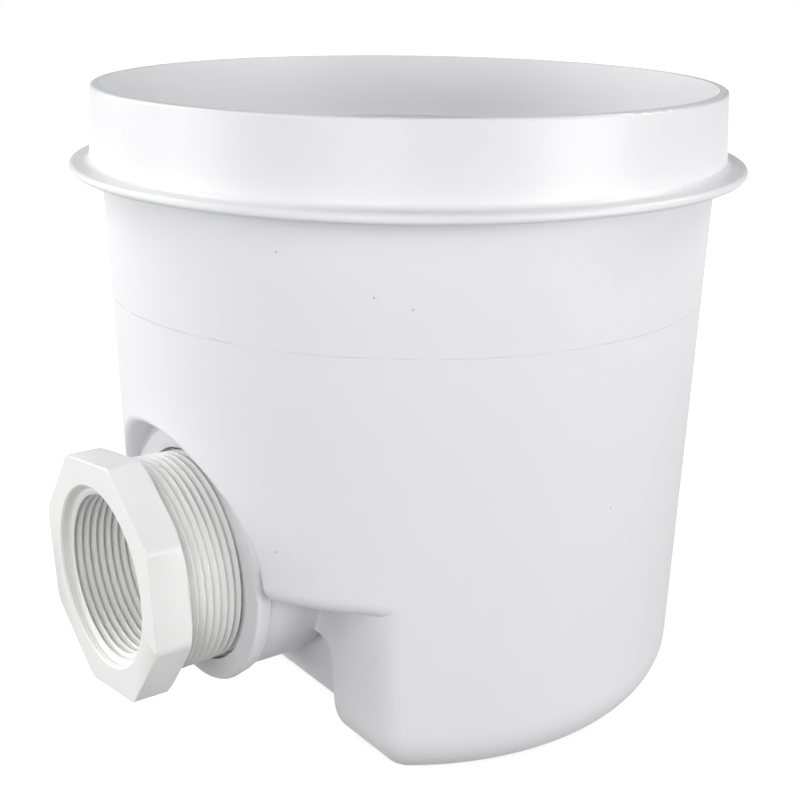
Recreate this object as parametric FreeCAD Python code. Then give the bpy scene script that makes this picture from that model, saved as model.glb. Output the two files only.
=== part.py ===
"""Pool main drain: a deep sump moulded in one piece, with a reducing bushing in its side outlet.

The origin lies on the sump's axis at its underside, Z is up and the outlet points along -X.
"""
import FreeCAD, Part
import math
import os

# Sump shell, millimetres
HEIGHT = 180.0
WALL = 3.0
FLOOR = 3.5
BASE_RADIUS = 83.25
WALL_SLOPE = 0.03125
BASE_ROUND = 15.7
COLLAR_ROOT_RADIUS = 91.2
COLLAR_RIM_RADIUS = 90.05
COLLAR_BORE = 87.5
COLLAR_EDGE = 0.9
FLANGE_RADIUS = 96.95
FLANGE_BOTTOM = 156.65
FLANGE_TOP = 159.2
FLANGE_EDGE = 1.2
FLANGE_FILLET = 1.8
UNDER_FILLET = 1.0
LEDGE_FILLET = 0.75

# Outlet: axis height and the flat seat round the hub, sunk into the wall
AXIS_HEIGHT = 51.0
SEAT_RADIUS = 38.6
SEAT_DISTANCE = 73.8
SEAT_FOLD = 0.8
SEAT_RIM = 2.0
SEAT_DRAFT = math.tan(math.radians(8.0))

# Recess under the outlet, open downwards
RECESS_CEILING = 50.0
RECESS_FACE = 53.7
RECESS_CORNER = 8.0
CLEARANCE_TOP = 8.0
CLEARANCE_RADIUS = 38.8
CLEARANCE_CORNER = 6.0
CLEARANCE_HALF_WIDTH = 50.0

# Overhang of the round wall above the recess
LIP_ROUND = 6.0
LIP_HALF_WIDTH = 69.5
LIP_CORNER = 14.0
LIP_FOOT = 25.0
FACED_TOP = 57.0

# Slot under the hub, deeper than the recess
SLOT_HALF_WIDTH = 39.5
SLOT_CEILING = 33.0
SLOT_DEPTH = 7.0
SLOT_CORNER = 7.0

# Hub and neck round the outlet
HUB_END = 75.2
HUB_RADIUS = 37.4
HUB_ROOT_RADIUS = 36.4
HUB_LENGTH = 4.5
HUB_EDGE = 1.0
NECK_RADIUS = 35.1
NECK_STEP = 1.0
TAIL_RADIUS = 32.4
THREAD_BORE = 30.2
THREAD_BORE_END = 54.0
RELIEF_RADIUS = 31.0
RELIEF_DEPTH = 2.5
PASSAGE_RADIUS = 26.0

# Reducing bushing: octagon head, outside pipe thread, inside pipe thread
HEAD_FACE = 103.7
HEAD_BACK = 93.0
HEAD_FLATS = 65.8
HEAD_TURN = 8.42
HEAD_SIDES = 8
HEAD_CORNER_TRIM = 0.3
HEAD_BACK_CHAMFER = 0.8
HEAD_FACE_CHAMFER = 0.4
SPIGOT_END = 65.7
SPIGOT_RADIUS = 30.06
PIPE_TAPER = 1.0 / 32.0
SPIGOT_CHAMFER = 1.2
LEAD_IN_RADIUS = 25.2
LEAD_IN_DEPTH = 1.9
PIPE_BORE = 22.6

REACH = 130.0
TOUCH = 0.05
OUTWARD = FreeCAD.Vector(-1, 0, 0)
UP = FreeCAD.Vector(0, 0, 1)
AXIS_POINT = FreeCAD.Vector(0, 0, AXIS_HEIGHT)


def rounded_loop(corners, place):
    """Closed wire through (u, v, radius) corners; place turns (u, v) into a point in space."""
    count = len(corners)
    starts = []
    edges = []
    for i in range(count):
        u, v, radius = corners[i]
        corner = FreeCAD.Vector(u, v, 0)
        before = FreeCAD.Vector(*corners[i - 1][:2], 0) - corner
        after = FreeCAD.Vector(*corners[(i + 1) % count][:2], 0) - corner
        half = before.getAngle(after) / 2
        before.normalize()
        after.normalize()
        setback = radius / math.tan(half)
        middle = (before + after).normalize() if radius else before
        near = corner + middle * (radius / math.sin(half) - radius)
        starts.append((corner + before * setback, near, corner + after * setback, radius))
    for i in range(count):
        entry, near, leave, radius = starts[i]
        following = starts[(i + 1) % count][0]
        if radius:
            edges.append(Part.Arc(place(entry), place(near), place(leave)).toShape())
        if (following - leave).Length > 1e-6:
            edges.append(Part.makeLine(place(leave), place(following)))
    return Part.Wire(edges)


def upright(point):
    """Section (radius or X, height) in the XZ plane."""
    return FreeCAD.Vector(point.x, 0, point.y)


def along_outlet(point):
    """Section (distance outwards, radius) round the outlet axis."""
    return FreeCAD.Vector(-point.x, 0, AXIS_HEIGHT + point.y)


def across_outlet(point):
    """Section (sideways, height) across the outlet axis."""
    return FreeCAD.Vector(0, -point.x, point.y)


def turned(corners):
    """Solid of revolution about the sump's axis."""
    face = Part.Face(rounded_loop(corners, upright))
    return face.revolve(FreeCAD.Vector(), UP, 360)


def turned_on_outlet(corners):
    """Solid of revolution about the outlet axis."""
    face = Part.Face(rounded_loop(corners, along_outlet))
    return face.revolve(AXIS_POINT, OUTWARD, 360)


def outlet_cylinder(radius, start, end):
    """Cylinder on the outlet axis between two distances from the sump's axis."""
    return Part.makeCylinder(radius, end - start, AXIS_POINT + OUTWARD * start, OUTWARD)


def slab(bottom, top):
    """Slab across the whole sump between two heights."""
    return Part.makeBox(2 * REACH, 2 * REACH, top - bottom, FreeCAD.Vector(-REACH, -REACH, bottom))


def wall_radius(height):
    """Outer radius of the tapered wall."""
    return BASE_RADIUS + WALL_SLOPE * height


def outer_form():
    """Outside of the sump as a solid."""
    return turned([
        (0, 0, 0),
        (BASE_RADIUS, 0, BASE_ROUND),
        (wall_radius(FLANGE_BOTTOM), FLANGE_BOTTOM, UNDER_FILLET),
        (FLANGE_RADIUS, FLANGE_BOTTOM, FLANGE_EDGE),
        (FLANGE_RADIUS, FLANGE_TOP, FLANGE_EDGE),
        (COLLAR_ROOT_RADIUS, FLANGE_TOP, FLANGE_FILLET),
        (COLLAR_RIM_RADIUS, HEIGHT, COLLAR_EDGE),
        (0, HEIGHT, 0),
    ])


def inner_form():
    """Hollow of the sump, running out past the rim."""
    ledge = FLANGE_BOTTOM + WALL
    return turned([
        (0, FLOOR, 0),
        (wall_radius(FLOOR) - WALL, FLOOR, BASE_ROUND - WALL),
        (wall_radius(ledge) - WALL, ledge, LEDGE_FILLET),
        (COLLAR_BORE, ledge, LEDGE_FILLET),
        (COLLAR_BORE, HEIGHT + WALL, 0),
        (0, HEIGHT + WALL, 0),
    ])


def facing_block(face_at_ceiling, floor, edge_round):
    """Block beyond an upright face, which leans like the wall and turns with a round into a flat floor."""
    top = AXIS_HEIGHT + CLEARANCE_TOP + 2 * WALL
    foot = face_at_ceiling - WALL_SLOPE * (RECESS_CEILING - floor)
    head = face_at_ceiling + WALL_SLOPE * (top - RECESS_CEILING)
    face = Part.Face(rounded_loop([
        (-head, top, 0),
        (-foot, floor, edge_round),
        (REACH / 2 - foot, floor, 0),
        (REACH / 2 - foot, floor - WALL, 0),
        (-REACH, floor - WALL, 0),
        (-REACH, top, 0),
    ], upright))
    block = face.extrude(FreeCAD.Vector(0, 2 * REACH, 0))
    block.translate(FreeCAD.Vector(0, -REACH, 0))
    return block


def clearance_prism(ceiling, ring, top, half_width):
    """Prism below the ceiling, with an arched clearance round the hub, along the outlet."""
    step = ceiling - AXIS_HEIGHT
    centre_up = step + CLEARANCE_CORNER
    centre_out = math.sqrt((ring + CLEARANCE_CORNER) ** 2 - centre_up ** 2)
    share = ring / (ring + CLEARANCE_CORNER)
    lean = math.atan2(centre_up, centre_out)
    corner_angle = (math.radians(-90) + lean - math.radians(180)) / 2
    arch_angle = (math.asin(top / ring) + lean) / 2
    edges = []
    for side in (1, -1):
        def spot(out, up):
            return across_outlet(FreeCAD.Vector(side * out, AXIS_HEIGHT + up, 0))
        far = spot(half_width, step)
        foot = spot(half_width, -AXIS_HEIGHT - WALL)
        corner = spot(centre_out, step)
        corner_mid = spot(centre_out + CLEARANCE_CORNER * math.cos(corner_angle),
                          centre_up + CLEARANCE_CORNER * math.sin(corner_angle))
        shoulder = spot(centre_out * share, centre_up * share)
        arch_mid = spot(ring * math.cos(arch_angle), ring * math.sin(arch_angle))
        crown = spot(math.sqrt(ring ** 2 - top ** 2), top)
        middle = spot(0, top)
        floor_middle = spot(0, -AXIS_HEIGHT - WALL)
        edges += [
            Part.makeLine(floor_middle, foot),
            Part.makeLine(foot, far),
            Part.makeLine(far, corner),
            Part.Arc(corner, corner_mid, shoulder).toShape(),
            Part.Arc(shoulder, arch_mid, crown).toShape(),
            Part.makeLine(crown, middle),
        ]
    face = Part.Face(Part.Wire(Part.__sortEdges__(edges)))
    return face.extrude(OUTWARD * REACH)


def window_prism(half_width, ceiling, corner):
    """Prism with a flat ceiling and rounded upper corners, along the outlet."""
    face = Part.Face(rounded_loop([
        (-half_width, -WALL, 0),
        (half_width, -WALL, 0),
        (half_width, ceiling, corner),
        (-half_width, ceiling, corner),
    ], across_outlet))
    return face.extrude(OUTWARD * REACH)


def seat_pocket(distance, radius, fold):
    """Space in front of the flat seat, with flaring sides."""
    return turned_on_outlet([
        (distance, 0, 0),
        (distance, radius, fold),
        (REACH, radius + SEAT_DRAFT * (REACH - distance), 0),
        (REACH, 0, 0),
    ])


def opening_edges(wall, ceiling):
    """Edges of an opening below a ceiling in the round wall on the outlet's side."""
    found = []
    for edge in wall.Edges:
        middle = edge.valueAt((edge.FirstParameter + edge.LastParameter) / 2)
        on_wall = abs(math.hypot(middle.x, middle.y) - wall_radius(middle.z)) < TOUCH
        near_outlet = middle.x < 0 and LIP_FOOT + WALL < middle.z < ceiling
        if on_wall and near_outlet:
            found.append(edge)
    return found


def upright_corner_edges(foot):
    """Edges where the recess face meets the round wall and the rounded base."""
    found = []
    for edge in foot.Edges:
        box = edge.BoundBox
        beside = abs(box.Center.y) > SLOT_HALF_WIDTH
        rising = box.ZLength > WALL
        outlet_side = box.XMax < -WALL and box.XMin > -RECESS_FACE - WALL
        if beside and rising and outlet_side:
            found.append(edge)
    return found


def outside_form():
    """Outside of the sump with the seat round the outlet and the recess under it."""
    overhang = outer_form().common(slab(LIP_FOOT, HEIGHT))
    overhang = overhang.cut(seat_pocket(SEAT_DISTANCE, SEAT_RADIUS, SEAT_FOLD))
    overhang = overhang.makeFillet(SEAT_RIM, opening_edges(overhang, AXIS_HEIGHT + SEAT_RADIUS))
    overhang = overhang.cut(window_prism(LIP_HALF_WIDTH, RECESS_CEILING, LIP_CORNER))
    overhang = overhang.makeFillet(LIP_ROUND, opening_edges(overhang, AXIS_HEIGHT))

    faced_foot = outer_form().common(slab(-WALL, FACED_TOP))
    faced_foot = faced_foot.cut(facing_block(RECESS_FACE, 0, BASE_ROUND))
    faced_foot = faced_foot.makeFillet(RECESS_CORNER, upright_corner_edges(faced_foot))

    clearance = facing_block(RECESS_FACE, 0, BASE_ROUND)
    clearance = clearance.common(
        clearance_prism(RECESS_CEILING, CLEARANCE_RADIUS, CLEARANCE_TOP, CLEARANCE_HALF_WIDTH))
    slot = facing_block(RECESS_FACE - SLOT_DEPTH, 0, BASE_ROUND)
    slot = slot.common(window_prism(SLOT_HALF_WIDTH, SLOT_CEILING, SLOT_CORNER))
    return overhang.fuse(faced_foot).cut(clearance).cut(slot)


def hollow_form():
    """Hollow of the sump, kept one wall away from the recess, the slot and the seat."""
    recess_skin = facing_block(RECESS_FACE - WALL, FLOOR, BASE_ROUND - WALL)
    recess_skin = recess_skin.common(
        clearance_prism(RECESS_CEILING + WALL, CLEARANCE_RADIUS + WALL, CLEARANCE_TOP + WALL, REACH))
    slot_skin = facing_block(RECESS_FACE - SLOT_DEPTH - WALL, FLOOR, BASE_ROUND - WALL)
    slot_skin = slot_skin.common(
        window_prism(SLOT_HALF_WIDTH + WALL, SLOT_CEILING + WALL, SLOT_CORNER + WALL))
    seat_skin = seat_pocket(SEAT_DISTANCE - WALL, SEAT_RADIUS + WALL, SEAT_FOLD + WALL)
    return inner_form().cut(recess_skin).cut(slot_skin).cut(seat_skin)


def sump_body():
    """Shell, recess, slot, seat and hub as one moulding."""
    shell = outside_form().cut(hollow_form())

    hub_root = HUB_END - HUB_LENGTH
    hub = turned_on_outlet([
        (RECESS_FACE - WALL, 0, 0),
        (HUB_END, 0, 0),
        (HUB_END, HUB_RADIUS, HUB_EDGE),
        (hub_root, HUB_ROOT_RADIUS, 0),
        (hub_root - NECK_STEP, NECK_RADIUS, 0),
        (RECESS_FACE - WALL, NECK_RADIUS, 0),
    ])
    tail = outlet_cylinder(TAIL_RADIUS, RECESS_FACE - SLOT_DEPTH - 2 * WALL, RECESS_FACE)
    tail = tail.common(slab(0, SLOT_CEILING + WALL))
    body = shell.fuse(hub).fuse(tail)

    thread_bore = outlet_cylinder(THREAD_BORE, THREAD_BORE_END, HUB_END)
    relief = outlet_cylinder(RELIEF_RADIUS, HUB_END - RELIEF_DEPTH, HUB_END + WALL)
    passage = outlet_cylinder(PASSAGE_RADIUS, 0, THREAD_BORE_END + WALL)
    return body.cut(thread_bore).cut(relief).cut(passage).removeSplitter()


def octagon_prism(start, end):
    """Eight-sided prism of the bushing's head."""
    corner = HEAD_FLATS / 2 / math.cos(math.pi / HEAD_SIDES)
    points = []
    for i in range(HEAD_SIDES + 1):
        angle = math.radians(HEAD_TURN) + 2 * math.pi * (i + 0.5) / HEAD_SIDES
        across = FreeCAD.Vector(corner * math.cos(angle), AXIS_HEIGHT + corner * math.sin(angle), 0)
        points.append(across_outlet(across) + OUTWARD * start)
    return Part.Face(Part.makePolygon(points)).extrude(OUTWARD * (end - start))


def reducer_bushing():
    """Octagon head, tapered spigot and stepped bore as one moulding."""
    corner = HEAD_FLATS / 2 / math.cos(math.pi / HEAD_SIDES) - HEAD_CORNER_TRIM
    head_envelope = turned_on_outlet([
        (HEAD_BACK, 0, 0),
        (HEAD_FACE, 0, 0),
        (HEAD_FACE, corner - HEAD_FACE_CHAMFER, 0),
        (HEAD_FACE - HEAD_FACE_CHAMFER, corner, 0),
        (HEAD_BACK + HEAD_BACK_CHAMFER, corner, 0),
        (HEAD_BACK, corner - 2 * HEAD_BACK_CHAMFER, 0),
    ])
    head = octagon_prism(HEAD_BACK, HEAD_FACE).common(head_envelope)

    root = SPIGOT_RADIUS + PIPE_TAPER * (HEAD_BACK - HUB_END)
    tip = SPIGOT_RADIUS + PIPE_TAPER * (SPIGOT_END - HUB_END)
    spigot = turned_on_outlet([
        (SPIGOT_END, 0, 0),
        (HEAD_BACK + HEAD_BACK_CHAMFER, 0, 0),
        (HEAD_BACK + HEAD_BACK_CHAMFER, root, 0),
        (HEAD_BACK, root, 0),
        (SPIGOT_END + SPIGOT_CHAMFER, tip, 0),
        (SPIGOT_END, tip - SPIGOT_CHAMFER, 0),
    ])
    bore = outlet_cylinder(PIPE_BORE, SPIGOT_END - WALL, HEAD_FACE + WALL)
    lead_in = outlet_cylinder(LEAD_IN_RADIUS, HEAD_FACE - LEAD_IN_DEPTH, HEAD_FACE + WALL)
    return head.fuse(spigot).cut(bore).cut(lead_in).removeSplitter()


os.makedirs("parts", exist_ok=True)
sump_body().exportStep("parts/sump_body.step")
reducer_bushing().exportStep("parts/reducer_bushing.step")
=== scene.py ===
# %% [markdown]
# A pool main drain in white plastic. The real one is two mouldings: a deep round sump with a flange and a
# side outlet, and a reducing bushing that is screwed part of the way into that outlet. The CAD part already
# holds the true form of both, so this lesson loads it as a fixed frame and adds what CAD leaves out: the
# cut of the threads and the plastic's own surface.

# %% Load the frame
import math

import bpy
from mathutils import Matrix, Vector


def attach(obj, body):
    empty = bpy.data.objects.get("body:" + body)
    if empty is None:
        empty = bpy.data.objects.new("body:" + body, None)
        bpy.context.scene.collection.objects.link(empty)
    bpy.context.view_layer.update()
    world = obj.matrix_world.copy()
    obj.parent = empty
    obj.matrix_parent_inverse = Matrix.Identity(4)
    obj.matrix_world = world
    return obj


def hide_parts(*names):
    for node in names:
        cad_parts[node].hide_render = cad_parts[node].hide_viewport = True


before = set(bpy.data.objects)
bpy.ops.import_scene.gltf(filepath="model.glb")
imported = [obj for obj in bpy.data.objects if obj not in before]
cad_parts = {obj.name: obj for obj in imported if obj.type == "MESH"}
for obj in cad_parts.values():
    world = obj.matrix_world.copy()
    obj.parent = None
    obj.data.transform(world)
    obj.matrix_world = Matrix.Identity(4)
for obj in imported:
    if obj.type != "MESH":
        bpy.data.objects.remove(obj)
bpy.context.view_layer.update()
MM = 0.001
print("CAD nodes:", sorted(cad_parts))

# %% [markdown]
# The camera stands where the photograph was taken from, a little above the rim and to the left of the
# sump's front. Its place and its angles come from fitting the rim, the foot and the bushing's eight corners
# to the picture. The small turn about its own axis is there too, because the photograph leans by less than
# a degree.

# %% Camera
CAMERA_PLACE = (-246.17 * MM, -332.92 * MM, 219.25 * MM)
CAMERA_TURN = (71.809, -0.665, -36.051)
CAMERA_LENS = 63.46
SENSOR_WIDTH = 36.0

lens = bpy.data.cameras.new("photo_lens")
lens.lens = CAMERA_LENS
lens.sensor_width = SENSOR_WIDTH
lens.sensor_fit = "HORIZONTAL"
camera = bpy.data.objects.new("photo_camera", lens)
bpy.context.scene.collection.objects.link(camera)
camera.location = CAMERA_PLACE
camera.rotation_euler = [math.radians(angle) for angle in CAMERA_TURN]
bpy.context.scene.camera = camera
print("camera to sump axis, mm:", round(math.hypot(*CAMERA_PLACE[:2]) / MM, 1))

# %% [markdown]
# Every finish here is a small graph of shader nodes, so a few short helpers keep the graphs readable. One
# adds a node and fills in its plain values, one does a sum between two sockets or numbers, one mixes two
# colours, and one writes a neutral colour. Nothing stays selected between steps either, so each operator
# acts only on the mesh that was made for it.

# %% Helpers
# A Mix node keeps its colour sockets behind those for numbers and vectors.
MIX_COLOUR_INPUTS = (0, 6, 7)
MIX_COLOUR_RESULT = 2


def deselect_all():
    """Nothing stays selected, so the next operator acts only on its own new mesh."""
    bpy.ops.object.select_all(action="DESELECT")


def add_node(tree, kind, settings=None, values=None):
    """A node of one kind, with its settings and the plain values of its sockets."""
    node = tree.nodes.new(kind)
    for key, setting in (settings or {}).items():
        setattr(node, key, setting)
    for socket, value in (values or {}).items():
        node.inputs[socket].default_value = value
    return node


def sum_node(tree, operation, first, second):
    """A Math node between two sockets or numbers; gives back its output."""
    node = add_node(tree, "ShaderNodeMath", {"operation": operation})
    for index, value in enumerate((first, second)):
        if isinstance(value, (int, float)):
            node.inputs[index].default_value = value
        else:
            tree.links.new(value, node.inputs[index])
    return node.outputs[0]


def mix_colours(tree, factor, first, second):
    """A Mix node between two colours, each a socket or a plain colour; gives back its result."""
    node = add_node(tree, "ShaderNodeMix", {"data_type": "RGBA"})
    for socket, value in zip(MIX_COLOUR_INPUTS, (factor, first, second)):
        if isinstance(value, tuple):
            node.inputs[socket].default_value = value
        else:
            tree.links.new(value, node.inputs[socket])
    return node.outputs[MIX_COLOUR_RESULT]


def grey(level):
    """A neutral colour."""
    return (level, level, level, 1)


# %% [markdown]
# The photograph has a plain white ground. The floor is a pale card: it catches the soft shadow under the
# drain, and it glows a little for the camera and in reflections, so it comes out white away from the drain.
# The light that bounces off it is weak, because in the picture very little comes up from below.

# %% Floor
FLOOR_SIZE = 8.0
FLOOR_DROP = 0.05 * MM
FLOOR_BOUNCE = 0.27
FLOOR_SEEN = 0.9
FLOOR_MIRROR = 0.85
GLOW_NEAR = 0.6
GLOW_FAR = 1.0
GLOW_START = 0.15
GLOW_END = 0.60

deselect_all()
bpy.ops.mesh.primitive_plane_add(size=FLOOR_SIZE, location=(0, 0, -FLOOR_DROP))
floor = bpy.context.object
floor.name = "studio_floor"


def seen_ray(tree, mirror):
    """One for rays that are looked along, a lower level in reflections, nothing for bounced light."""
    path = add_node(tree, "ShaderNodeLightPath")
    looked = sum_node(tree, "MAXIMUM", path.outputs["Is Camera Ray"], path.outputs["Is Transmission Ray"])
    mirrored = sum_node(tree, "MULTIPLY", path.outputs["Is Glossy Ray"], mirror)
    return sum_node(tree, "MAXIMUM", looked, mirrored)


floor_paint = bpy.data.materials.new("floor_paint")
floor_paint.use_nodes = True
tree = floor_paint.node_tree
card = tree.nodes["Principled BSDF"]
card.inputs["Roughness"].default_value = 1.0
card.inputs["Specular IOR Level"].default_value = 0.0
card.inputs["Emission Color"].default_value = grey(1.0)
tone = add_node(tree, "ShaderNodeMapRange", values={"To Min": FLOOR_BOUNCE, "To Max": FLOOR_SEEN})
tree.links.new(seen_ray(tree, 0.0), tone.inputs["Value"])
tree.links.new(tone.outputs[0], card.inputs["Base Color"])
place = add_node(tree, "ShaderNodeTexCoord")
reach = add_node(tree, "ShaderNodeVectorMath", {"operation": "LENGTH"})
tree.links.new(place.outputs["Object"], reach.inputs[0])
glow = add_node(tree, "ShaderNodeMapRange", {"interpolation_type": "SMOOTHSTEP"},
                {"From Min": GLOW_START, "From Max": GLOW_END, "To Min": GLOW_NEAR, "To Max": GLOW_FAR})
tree.links.new(reach.outputs["Value"], glow.inputs["Value"])
strength = sum_node(tree, "MULTIPLY", seen_ray(tree, FLOOR_MIRROR), glow.outputs[0])
tree.links.new(strength, card.inputs["Emission Strength"])
floor.data.materials.append(floor_paint)
print("floor:", floor.name, "glow", GLOW_NEAR, "to", GLOW_FAR)

# %% [markdown]
# The air around the set is white to the eye and grey in reflections, and it adds no light of its own. All
# the light comes from lamps, so the side of the drain that no lamp reaches stays as grey as it is in the
# picture.

# %% World
AIR_MIRROR = 0.35

world = bpy.data.worlds.new("studio_air")
world.use_nodes = True
bpy.context.scene.world = world
air = world.node_tree.nodes["Background"]
air.inputs["Color"].default_value = grey(1.0)
world.node_tree.links.new(seen_ray(world.node_tree, AIR_MIRROR), air.inputs["Strength"])
bpy.context.scene.view_settings.view_transform = "Standard"
print("view:", bpy.context.scene.view_settings.view_transform)

# %% [markdown]
# Eight soft lamps stand in a circle round the drain: two low ones, three at middle height, and three high
# ones that also reach into the hollow. Each is placed by its turn from the camera, so left and right are as
# in the picture. Their powers were found by rendering each lamp alone and mixing those pictures until the
# greys came close to the photograph's. Then they came down a little, so that the white plastic keeps its
# shade.

# %% Lamps
LAMP_SIZE = 0.7
LAMP_REACH = 1.3
LAMP_LOW = 0.12
LAMP_MIDDLE = 0.45
LAMP_HIGH = 1.20
LAMP_AIM = Vector((0, 0, 90 * MM))
LAMPS = {
    "low_left_lamp": (-75, LAMP_LOW, 8.0),
    "low_right_lamp": (60, LAMP_LOW, 9.0),
    "left_lamp": (-110, LAMP_MIDDLE, 4.2),
    "front_lamp": (-15, LAMP_MIDDLE, 5.8),
    "right_lamp": (45, LAMP_MIDDLE, 3.7),
    "high_left_lamp": (-110, LAMP_HIGH, 11.8),
    "high_front_lamp": (-15, LAMP_HIGH, 4.4),
    "high_right_lamp": (110, LAMP_HIGH, 9.2),
}

camera_bearing = math.atan2(CAMERA_PLACE[1], CAMERA_PLACE[0])
for lamp_name, (turn, height, power) in LAMPS.items():
    bearing = camera_bearing + math.radians(turn)
    lamp_place = Vector((LAMP_REACH * math.cos(bearing), LAMP_REACH * math.sin(bearing), height))
    lamp_data = bpy.data.lights.new(lamp_name, "AREA")
    lamp_data.shape = "SQUARE"
    lamp_data.size = LAMP_SIZE
    lamp_data.energy = power
    lamp = bpy.data.objects.new(lamp_name, lamp_data)
    bpy.context.scene.collection.objects.link(lamp)
    lamp.location = lamp_place
    lamp.rotation_euler = (LAMP_AIM - lamp_place).to_track_quat("-Z", "Y").to_euler()
print("lamps, W:", round(sum(power for _, _, power in LAMPS.values()), 1))

# %% [markdown]
# White pool plastic isn't one even colour. It is very slightly cloudy, and its gloss changes a little from
# place to place where the mould was more or less polished. Both mouldings share that, so it is one node
# group with named sockets: two tints go in, and a colour, a roughness and a fine height come out.

# %% Moulded skin group
CLOUD_SCALE = 22.0
CLOUD_DETAIL = 3.0
CLOUD_ROUGHNESS = 0.55
GRAIN_SCALE = 900.0
GRAIN_DETAIL = 2.0

skin_group = bpy.data.node_groups.new("moulded_skin", "ShaderNodeTree")
for socket, kind in (("Tint", "NodeSocketColor"), ("Cloud Tint", "NodeSocketColor"),
                     ("Gloss", "NodeSocketFloat"), ("Gloss Spread", "NodeSocketFloat")):
    skin_group.interface.new_socket(name=socket, in_out="INPUT", socket_type=kind)
for socket, kind in (("Color", "NodeSocketColor"), ("Roughness", "NodeSocketFloat"),
                     ("Height", "NodeSocketFloat")):
    skin_group.interface.new_socket(name=socket, in_out="OUTPUT", socket_type=kind)
group_in = add_node(skin_group, "NodeGroupInput")
group_out = add_node(skin_group, "NodeGroupOutput")
place = add_node(skin_group, "ShaderNodeTexCoord")
cloud = add_node(skin_group, "ShaderNodeTexNoise",
                 values={"Scale": CLOUD_SCALE, "Detail": CLOUD_DETAIL, "Roughness": CLOUD_ROUGHNESS})
grain = add_node(skin_group, "ShaderNodeTexNoise", values={"Scale": GRAIN_SCALE, "Detail": GRAIN_DETAIL})
skin_group.links.new(place.outputs["Object"], cloud.inputs["Vector"])
skin_group.links.new(place.outputs["Object"], grain.inputs["Vector"])
blend = mix_colours(skin_group, cloud.outputs["Fac"],
                    group_in.outputs["Tint"], group_in.outputs["Cloud Tint"])
skin_group.links.new(blend, group_out.inputs["Color"])
spread = sum_node(skin_group, "MULTIPLY", cloud.outputs["Fac"], group_in.outputs["Gloss Spread"])
roughness = sum_node(skin_group, "ADD", spread, group_in.outputs["Gloss"])
skin_group.links.new(roughness, group_out.inputs["Roughness"])
skin_group.links.new(grain.outputs["Fac"], group_out.inputs["Height"])
print("group:", skin_group.name, [item.name for item in skin_group.interface.items_tree])

# %% [markdown]
# Now the two plastics. The sump is a slightly cool white with a good polish. The bushing is another
# moulding, a little warmer and less polished. The grain goes into a very weak bump, which breaks up the
# reflections the way a real mould surface does.

# %% Plastic
GRAIN_DEPTH = 0.004 * MM
PLASTIC_SPECULAR = 0.35
SUMP_FINISH = {"Tint": (0.835, 0.835, 0.850, 1), "Cloud Tint": (0.850, 0.850, 0.862, 1),
               "Gloss": 0.26, "Gloss Spread": 0.08}
FITTING_FINISH = {"Tint": (0.850, 0.850, 0.846, 1), "Cloud Tint": (0.864, 0.864, 0.859, 1),
                  "Gloss": 0.28, "Gloss Spread": 0.10}


def moulded_plastic(name, finish):
    """A Principled plastic that takes its colour, roughness and fine grain from the shared group."""
    paint = bpy.data.materials.new(name)
    paint.use_nodes = True
    tree = paint.node_tree
    skin = tree.nodes["Principled BSDF"]
    skin.inputs["Specular IOR Level"].default_value = PLASTIC_SPECULAR
    surface = add_node(tree, "ShaderNodeGroup", {"node_tree": skin_group, "name": "surface"}, finish)
    relief = add_node(tree, "ShaderNodeBump", {"name": "grain_relief"}, {"Distance": GRAIN_DEPTH})
    tree.links.new(surface.outputs["Color"], skin.inputs["Base Color"])
    tree.links.new(surface.outputs["Roughness"], skin.inputs["Roughness"])
    tree.links.new(surface.outputs["Height"], relief.inputs["Height"])
    tree.links.new(relief.outputs[0], skin.inputs["Normal"])
    return paint


body_plastic = moulded_plastic("sump_plastic", SUMP_FINISH)
fitting_plastic = moulded_plastic("fitting_plastic", FITTING_FINISH)
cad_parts["sump_body"].material_slots[0].material = body_plastic
print("plastics:", body_plastic.name, fitting_plastic.name)

# %% [markdown]
# The wall isn't flawless. A fine ring runs round it at two thirds of its height, like the line that two
# parts of a mould leave where they meet. The wall steps in there by about a tenth of a millimetre and comes
# back slowly below. That is far too fine for the solid, so it is a bump that only the outside of the wall
# gets. One noise lets the ring wander, and a finer one lets it come and go, as it does in the photograph.

# %% Mould ring on the wall
RING_HEIGHT = 122.3 * MM
RING_WANDER = 0.5 * MM
RING_WIDTH = 0.45 * MM
RING_FADE = 9.0 * MM
RING_DEPTH = 0.12 * MM
RING_WALL_RADIUS = 85.5 * MM
WANDER_SCALE = 24.0
PATCH_SCALE = 140.0
PATCH_FROM = (0.35, 0.60)
PATCH_TO = (0.2, 1.0)
RING_DETAIL = 1.0
ACROSS = (1, 1, 0)

tree = body_plastic.node_tree
place = add_node(tree, "ShaderNodeTexCoord").outputs["Object"]
axes = add_node(tree, "ShaderNodeSeparateXYZ")
tree.links.new(place, axes.inputs[0])
slow = add_node(tree, "ShaderNodeTexNoise", values={"Scale": WANDER_SCALE, "Detail": RING_DETAIL})
tree.links.new(place, slow.inputs["Vector"])
wander = sum_node(tree, "MULTIPLY", slow.outputs["Fac"], 2 * RING_WANDER)
level = sum_node(tree, "ADD", wander, RING_HEIGHT - RING_WANDER)
above_ring = sum_node(tree, "SUBTRACT", axes.outputs["Z"], level)
step_in = add_node(tree, "ShaderNodeMapRange", {"interpolation_type": "SMOOTHSTEP"},
                   {"From Min": -RING_WIDTH, "From Max": 0.0, "To Min": -1.0, "To Max": 0.0})
tree.links.new(above_ring, step_in.inputs["Value"])
come_back = add_node(tree, "ShaderNodeMapRange", {"interpolation_type": "SMOOTHSTEP"},
                     {"From Min": -RING_FADE, "From Max": -RING_WIDTH, "To Min": 0.0, "To Max": 1.0})
tree.links.new(above_ring, come_back.inputs["Value"])
flat_place = add_node(tree, "ShaderNodeVectorMath", {"operation": "MULTIPLY"}, {1: ACROSS})
tree.links.new(place, flat_place.inputs[0])
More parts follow.
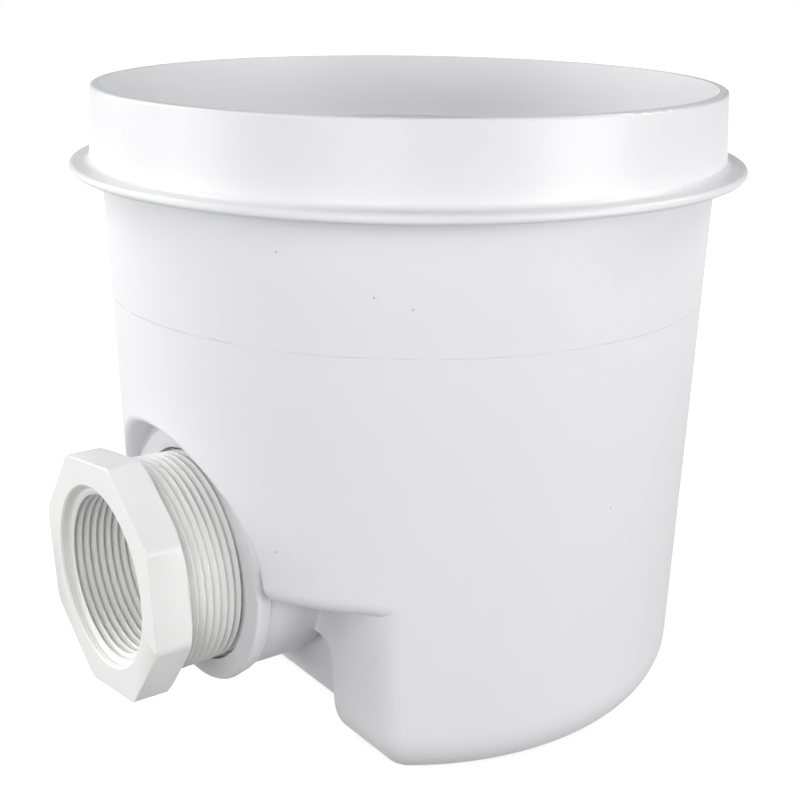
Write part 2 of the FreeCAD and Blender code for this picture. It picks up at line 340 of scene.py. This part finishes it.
from_axis = add_node(tree, "ShaderNodeVectorMath", {"operation": "LENGTH"})
tree.links.new(flat_place.outputs[0], from_axis.inputs[0])
outside = sum_node(tree, "GREATER_THAN", from_axis.outputs["Value"], RING_WALL_RADIUS)
patches = add_node(tree, "ShaderNodeTexNoise", values={"Scale": PATCH_SCALE, "Detail": RING_DETAIL})
tree.links.new(place, patches.inputs["Vector"])
patchy = add_node(tree, "ShaderNodeMapRange", values={"From Min": PATCH_FROM[0], "From Max": PATCH_FROM[1],
                                                      "To Min": PATCH_TO[0], "To Max": PATCH_TO[1]})
tree.links.new(patches.outputs["Fac"], patchy.inputs["Value"])
profile = sum_node(tree, "MULTIPLY", step_in.outputs[0], come_back.outputs[0])
depth = sum_node(tree, "MULTIPLY", sum_node(tree, "MULTIPLY", profile, outside), patchy.outputs[0])
ring_relief = add_node(tree, "ShaderNodeBump", values={"Distance": RING_DEPTH})
tree.links.new(depth, ring_relief.inputs["Height"])
tree.links.new(ring_relief.outputs[0], tree.nodes["grain_relief"].inputs["Normal"])
print("mould ring at", RING_HEIGHT / MM, "mm")

# %% [markdown]
# A few dark specks show on the wall, like dust caught in moulding. Each is a soft grey spot at its own
# place, read from the photograph. They could be tiny meshes, but they have no height, so the colour is
# mixed in by a mask that is one at the middle of each speck.

# %% Specks
SPECK_RADIUS = 0.40 * MM
SPECK_TINT = (0.36, 0.35, 0.34, 1)
SPECKS = [(-50.66, -71.28, 134.57), (-58.03, -65.54, 137.34), (5.68, -85.41, 75.11),
          (-73.45, -43.47, 67.00), (-74.01, -47.32, 147.07)]

speck_mask = 0.0
for speck in SPECKS:
    gap = add_node(tree, "ShaderNodeVectorMath", {"operation": "DISTANCE"}, {1: [v * MM for v in speck]})
    tree.links.new(place, gap.inputs[0])
    spot = add_node(tree, "ShaderNodeMapRange", {"interpolation_type": "SMOOTHSTEP"},
                    {"From Min": 0.0, "From Max": SPECK_RADIUS, "To Min": 1.0, "To Max": 0.0})
    tree.links.new(gap.outputs["Value"], spot.inputs["Value"])
    speck_mask = sum_node(tree, "MAXIMUM", spot.outputs[0], speck_mask)
dusted = mix_colours(tree, speck_mask, tree.nodes["surface"].outputs["Color"], SPECK_TINT)
tree.links.new(dusted, tree.nodes["Principled BSDF"].inputs["Base Color"])
print("specks:", len(SPECKS))

# %% [markdown]
# The bushing's outer thread is a 2 inch taper pipe thread with 11.5 threads to the inch. A lathe hand would
# say: one tooth, carried round the axis and along it. So one tooth is drawn as a line, by extruding a
# single point, and the Screw modifier carries it. The same helper makes plain turned blanks when the line
# doesn't climb. Two more helpers close a mesh's seams and cut or join two meshes.

# %% Line carried round an axis
TURN_STEPS = 128
MERGE_GAP = 0.002 * MM


def swept_line(name, points, rise=0, turns=1):
    """A line through (radius, height) points, carried round Z; each turn climbs by the rise."""
    deselect_all()
    # Three points merged at their centre leave the one point that is extruded.
    bpy.ops.mesh.primitive_circle_add(vertices=3, radius=MM)
    piece = bpy.context.object
    piece.name = name
    bpy.ops.object.mode_set(mode="EDIT")
    bpy.ops.mesh.select_all(action="SELECT")
    bpy.ops.mesh.merge(type="CENTER")
    bpy.ops.transform.translate(value=(points[0][0], 0, points[0][1]))
    for here, there in zip(points, points[1:]):
        step = (there[0] - here[0], 0, there[1] - here[1])
        bpy.ops.mesh.extrude_vertices_move(TRANSFORM_OT_translate={"value": step})
    bpy.ops.object.mode_set(mode="OBJECT")
    carry = piece.modifiers.new("carry", "SCREW")
    carry.axis = "Z"
    carry.screw_offset = rise
    carry.iterations = turns
    carry.steps = TURN_STEPS
    carry.render_steps = TURN_STEPS
    bpy.ops.object.modifier_apply(modifier=carry.name)
    close_seams(piece)
    return piece


def close_seams(piece):
    """Merges doubled points and turns every face outwards."""
    deselect_all()
    piece.select_set(True)
    bpy.context.view_layer.objects.active = piece
    bpy.ops.object.mode_set(mode="EDIT")
    bpy.ops.mesh.select_all(action="SELECT")
    bpy.ops.mesh.remove_doubles(threshold=MERGE_GAP)
    bpy.ops.mesh.normals_make_consistent(inside=False)
    bpy.ops.object.mode_set(mode="OBJECT")


def combine(piece, tool, operation):
    """A Boolean with another mesh, which is used up."""
    deselect_all()
    piece.select_set(True)
    bpy.context.view_layer.objects.active = piece
    work = piece.modifiers.new("combine", "BOOLEAN")
    work.operation = operation
    work.solver = "EXACT"
    work.object = tool
    bpy.ops.object.modifier_apply(modifier=work.name)
    bpy.data.objects.remove(tool)


# %% [markdown]
# A taper pipe thread widens by one part in sixteen on its diameter. The tooth is carried round as a
# straight thread first, and the Simple Deform modifier then gives the whole rod its taper, which is what a
# die on a taper lathe does. Two cuts square off the ends and close them.

# %% Tapered thread
INCH = 25.4 * MM
THREADS_PER_INCH = 11.5
PITCH = INCH / THREADS_PER_INCH
CREST_FLAT = 0.16 * MM
ROOT_FLAT = 0.20 * MM
TAPER = 1 / 32


def tapered_thread(name, crest_radius, depth, bottom, top, phase):
    """A threaded rod between two heights; the crest has its radius at height nothing and grows upwards."""
    flank = (PITCH - CREST_FLAT - ROOT_FLAT) / 2
    root = crest_radius - depth
    start = bottom - PITCH * (1 + phase)
    turns = math.ceil((top - start) / PITCH) + 1
    crest_start = ROOT_FLAT / 2 + flank
    tooth = [(root, 0), (root, ROOT_FLAT / 2),
             (crest_radius, crest_start), (crest_radius, crest_start + CREST_FLAT),
             (root, PITCH - ROOT_FLAT / 2), (root, PITCH)]
    rod = swept_line(name, [(radius, start + height) for radius, height in tooth], PITCH, turns)
    cone = rod.modifiers.new("cone", "SIMPLE_DEFORM")
    cone.deform_method = "TAPER"
    cone.deform_axis = "Z"
    cone.factor = rod.dimensions.z * TAPER / crest_radius
    bpy.ops.object.modifier_apply(modifier=cone.name)
    bpy.ops.object.mode_set(mode="EDIT")
    for height, inner in ((bottom, True), (top, False)):
        bpy.ops.mesh.select_all(action="SELECT")
        bpy.ops.mesh.bisect(plane_co=(0, 0, height), plane_no=(0, 0, 1), use_fill=True,
                            clear_inner=inner, clear_outer=not inner)
    bpy.ops.object.mode_set(mode="OBJECT")
    close_seams(rod)
    return rod


# %% [markdown]
# The bushing is built upright, with height standing for the distance from the sump's axis, measured from
# the mouth of the hub. First comes the threaded spigot. Its tip has the chamfer that lets it find the hub's
# thread, and a wide cone cuts that chamfer.

# %% Threaded spigot
HUB_MOUTH = 75.2 * MM
SPIGOT_END = 65.7 * MM
HEAD_BACK = 93.0 * MM
HEAD_FACE = 103.69 * MM
SPIGOT_CREST = 30.05 * MM
SPIGOT_DEPTH = 1.65 * MM
SPIGOT_PHASE = 0.45
TIP_CHAMFER = 1.2 * MM
OVERLAP = 0.6 * MM

tip_height = SPIGOT_END - HUB_MOUTH
spigot = tapered_thread("spigot", SPIGOT_CREST, SPIGOT_DEPTH, tip_height,
                        HEAD_BACK + OVERLAP - HUB_MOUTH, SPIGOT_PHASE)
tip_radius = SPIGOT_CREST + tip_height * TAPER - TIP_CHAMFER
cone_length = HEAD_FACE - SPIGOT_END
cone_line = [(0, tip_height - OVERLAP), (tip_radius - OVERLAP, tip_height - OVERLAP),
             (tip_radius + cone_length, tip_height + cone_length), (0, tip_height + cone_length)]
point_cone = swept_line("point_cone", cone_line)
combine(spigot, point_cone, "INTERSECT")
print("spigot:", len(spigot.data.polygons), "faces,", [round(v / MM, 2) for v in spigot.dimensions], "mm")

# %% [markdown]
# The head is an eight-sided prism for a spanner. Its edges are broken by a hair, as a mould leaves them,
# and a turned blank trims its corners: a small slope at the back and a finer one at the face.

# %% Octagon head
HEAD_FLATS = 65.8 * MM
HEAD_SIDES = 8
HEAD_TURN = math.radians(-14.08)
CORNER_TRIM = 0.3 * MM
BACK_CHAMFER = 0.8 * MM
FACE_CHAMFER = 0.4 * MM
EDGE_BREAK = 0.25 * MM
EDGE_STEPS = 2

corner_radius = HEAD_FLATS / 2 / math.cos(math.pi / HEAD_SIDES)
back = HEAD_BACK - HUB_MOUTH
front = HEAD_FACE - HUB_MOUTH
deselect_all()
bpy.ops.mesh.primitive_cylinder_add(vertices=HEAD_SIDES, radius=corner_radius, depth=front - back,
                                    location=(0, 0, (front + back) / 2), rotation=(0, 0, HEAD_TURN))
head = bpy.context.object
bpy.ops.object.transform_apply(location=True, rotation=True, scale=True)
bpy.ops.object.mode_set(mode="EDIT")
bpy.ops.mesh.select_all(action="SELECT")
bpy.ops.mesh.bevel(offset=EDGE_BREAK, segments=EDGE_STEPS, affect="EDGES")
bpy.ops.object.mode_set(mode="OBJECT")
trim = corner_radius - CORNER_TRIM
blank_line = [(0, back - OVERLAP), (trim - 2 * BACK_CHAMFER - 2 * OVERLAP, back - OVERLAP),
              (trim, back + BACK_CHAMFER), (trim, front - FACE_CHAMFER),
              (trim - FACE_CHAMFER - OVERLAP, front + OVERLAP), (0, front + OVERLAP)]
blank = swept_line("blank", blank_line)
combine(head, blank, "INTERSECT")
combine(head, spigot, "UNION")
bushing = head
bushing.name = "threaded_bushing"
print("bushing:", len(bushing.data.polygons), "faces")

# %% [markdown]
# The bore is cut in two steps. The inner thread is a 1 1/2 inch taper pipe thread of the same pitch, which
# narrows as it goes in. In front of it lies a plain mouth with a broken edge and one fine step, and a short
# cone leads from it into the thread.

# %% Threaded bore
BORE_MOUTH = 101.8 * MM
BORE_CREST = 24.40 * MM
BORE_DEPTH = 1.65 * MM
BORE_PHASE = 0.0
MOUTH_RADIUS = 25.2 * MM
MOUTH_STEP = 0.30 * MM
MOUTH_STEP_DEPTH = 1.0 * MM
MOUTH_BREAK = 0.5 * MM
LEAD_CONE = 0.6 * MM

cutter = tapered_thread("cutter", BORE_CREST, BORE_DEPTH, SPIGOT_END - OVERLAP - BORE_MOUTH,
                        OVERLAP, BORE_PHASE)
cutter.location.z = BORE_MOUTH - HUB_MOUTH
bpy.ops.object.transform_apply(location=True, rotation=True, scale=True)
combine(bushing, cutter, "DIFFERENCE")
floor_of_mouth = BORE_MOUTH - HUB_MOUTH
step_radius = MOUTH_RADIUS + MOUTH_STEP
mouth_line = [(0, floor_of_mouth - LEAD_CONE), (MOUTH_RADIUS - LEAD_CONE, floor_of_mouth - LEAD_CONE),
              (MOUTH_RADIUS, floor_of_mouth), (MOUTH_RADIUS, front - MOUTH_STEP_DEPTH),
              (step_radius, front - MOUTH_STEP_DEPTH), (step_radius, front - MOUTH_BREAK),
              (step_radius + MOUTH_BREAK + OVERLAP, front + OVERLAP), (0, front + OVERLAP)]
mouth = swept_line("mouth", mouth_line)
combine(bushing, mouth, "DIFFERENCE")
print("bushing with bore:", len(bushing.data.polygons), "faces")

# %% [markdown]
# One crest of the outer thread has a nick, as a knock leaves it. It could be sculpted by hand, but a small
# ball cut out of the crest gives the same notch every time.

# %% Nick in the thread
NICK_PLACE = (30.30 * MM, -3.79 * MM, 10.37 * MM)
NICK_RADIUS = 0.6 * MM
NICK_STEPS = 2

deselect_all()
bpy.ops.mesh.primitive_ico_sphere_add(subdivisions=NICK_STEPS, radius=NICK_RADIUS, location=NICK_PLACE)
nick = bpy.context.object
bpy.ops.object.transform_apply(location=True, rotation=True, scale=True)
combine(bushing, nick, "DIFFERENCE")
print("bushing with nick:", len(bushing.data.polygons), "faces")

# %% [markdown]
# Now the bushing is laid on the outlet's axis: its height becomes distance along minus X. The turn and the
# place are applied, so the object itself sits at the origin. Smooth shading stops at every edge that is
# sharper than the angle, which keeps crests and flats crisp.

# %% Bushing in its place
AXIS_HEIGHT = 51.0 * MM
LAY_DOWN = math.radians(-90)
SMOOTH_ANGLE = math.radians(28)

deselect_all()
bushing.select_set(True)
bpy.context.view_layer.objects.active = bushing
bushing.rotation_euler = (0, LAY_DOWN, 0)
bushing.location = (-HUB_MOUTH, 0, AXIS_HEIGHT)
bpy.ops.object.transform_apply(location=True, rotation=True, scale=True)
close_seams(bushing)
bpy.ops.object.shade_smooth_by_angle(angle=SMOOTH_ANGLE)
bushing.data.materials.clear()
bushing.data.materials.append(fitting_plastic)
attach(bushing, "root")
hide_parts("reducer_bushing")
triangles = sum(len(face.vertices) - 2 for face in bushing.data.polygons)
print("bushing in place:", triangles, "triangles")
